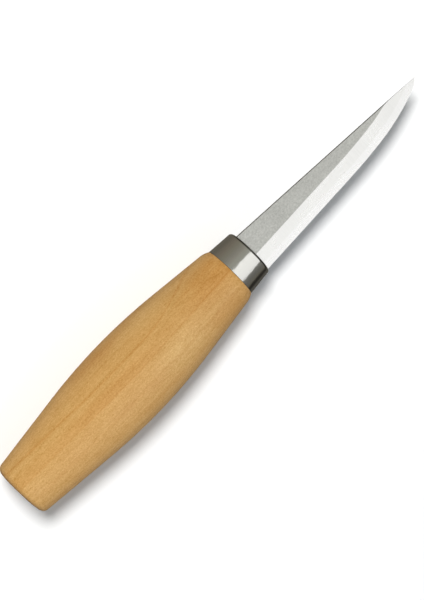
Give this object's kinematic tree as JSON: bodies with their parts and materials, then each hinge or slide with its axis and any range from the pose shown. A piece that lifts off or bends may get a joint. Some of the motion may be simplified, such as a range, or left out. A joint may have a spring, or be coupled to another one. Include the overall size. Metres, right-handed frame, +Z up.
{
  "type": "chip carving knife",
  "caption": "Fixed-blade carving knife: slim blade with a straight spine and a flat ground bevel, tang peened through an oval barrel handle of wood, with an oval steel ferrule.",
  "frame": {"origin": "Under the middle of the knife's length and width, level with the lowest line of the handle's belly.", "axes": "+X along the handle's axis towards the blade's tip, +Y from the cutting edge towards the spine, +Z up out of the blade's right-hand flat: the knife lies on its side."},
  "size_m": [0.19, 0.0296, 0.0237],
  "materials": {
    "core_steel": "finely ground, bright along the bevel",
    "side_steel": "satin, fine matt grain",
    "ferrule_steel": "polished",
    "handle_wood": "oiled birch, satin"
  },
  "bodies": {
    "root": {"blade_core": "core_steel", "blade_side_left": "side_steel", "blade_side_right": "side_steel", "ferrule": "ferrule_steel", "handle": "handle_wood"}
  },
  "joints": []
}
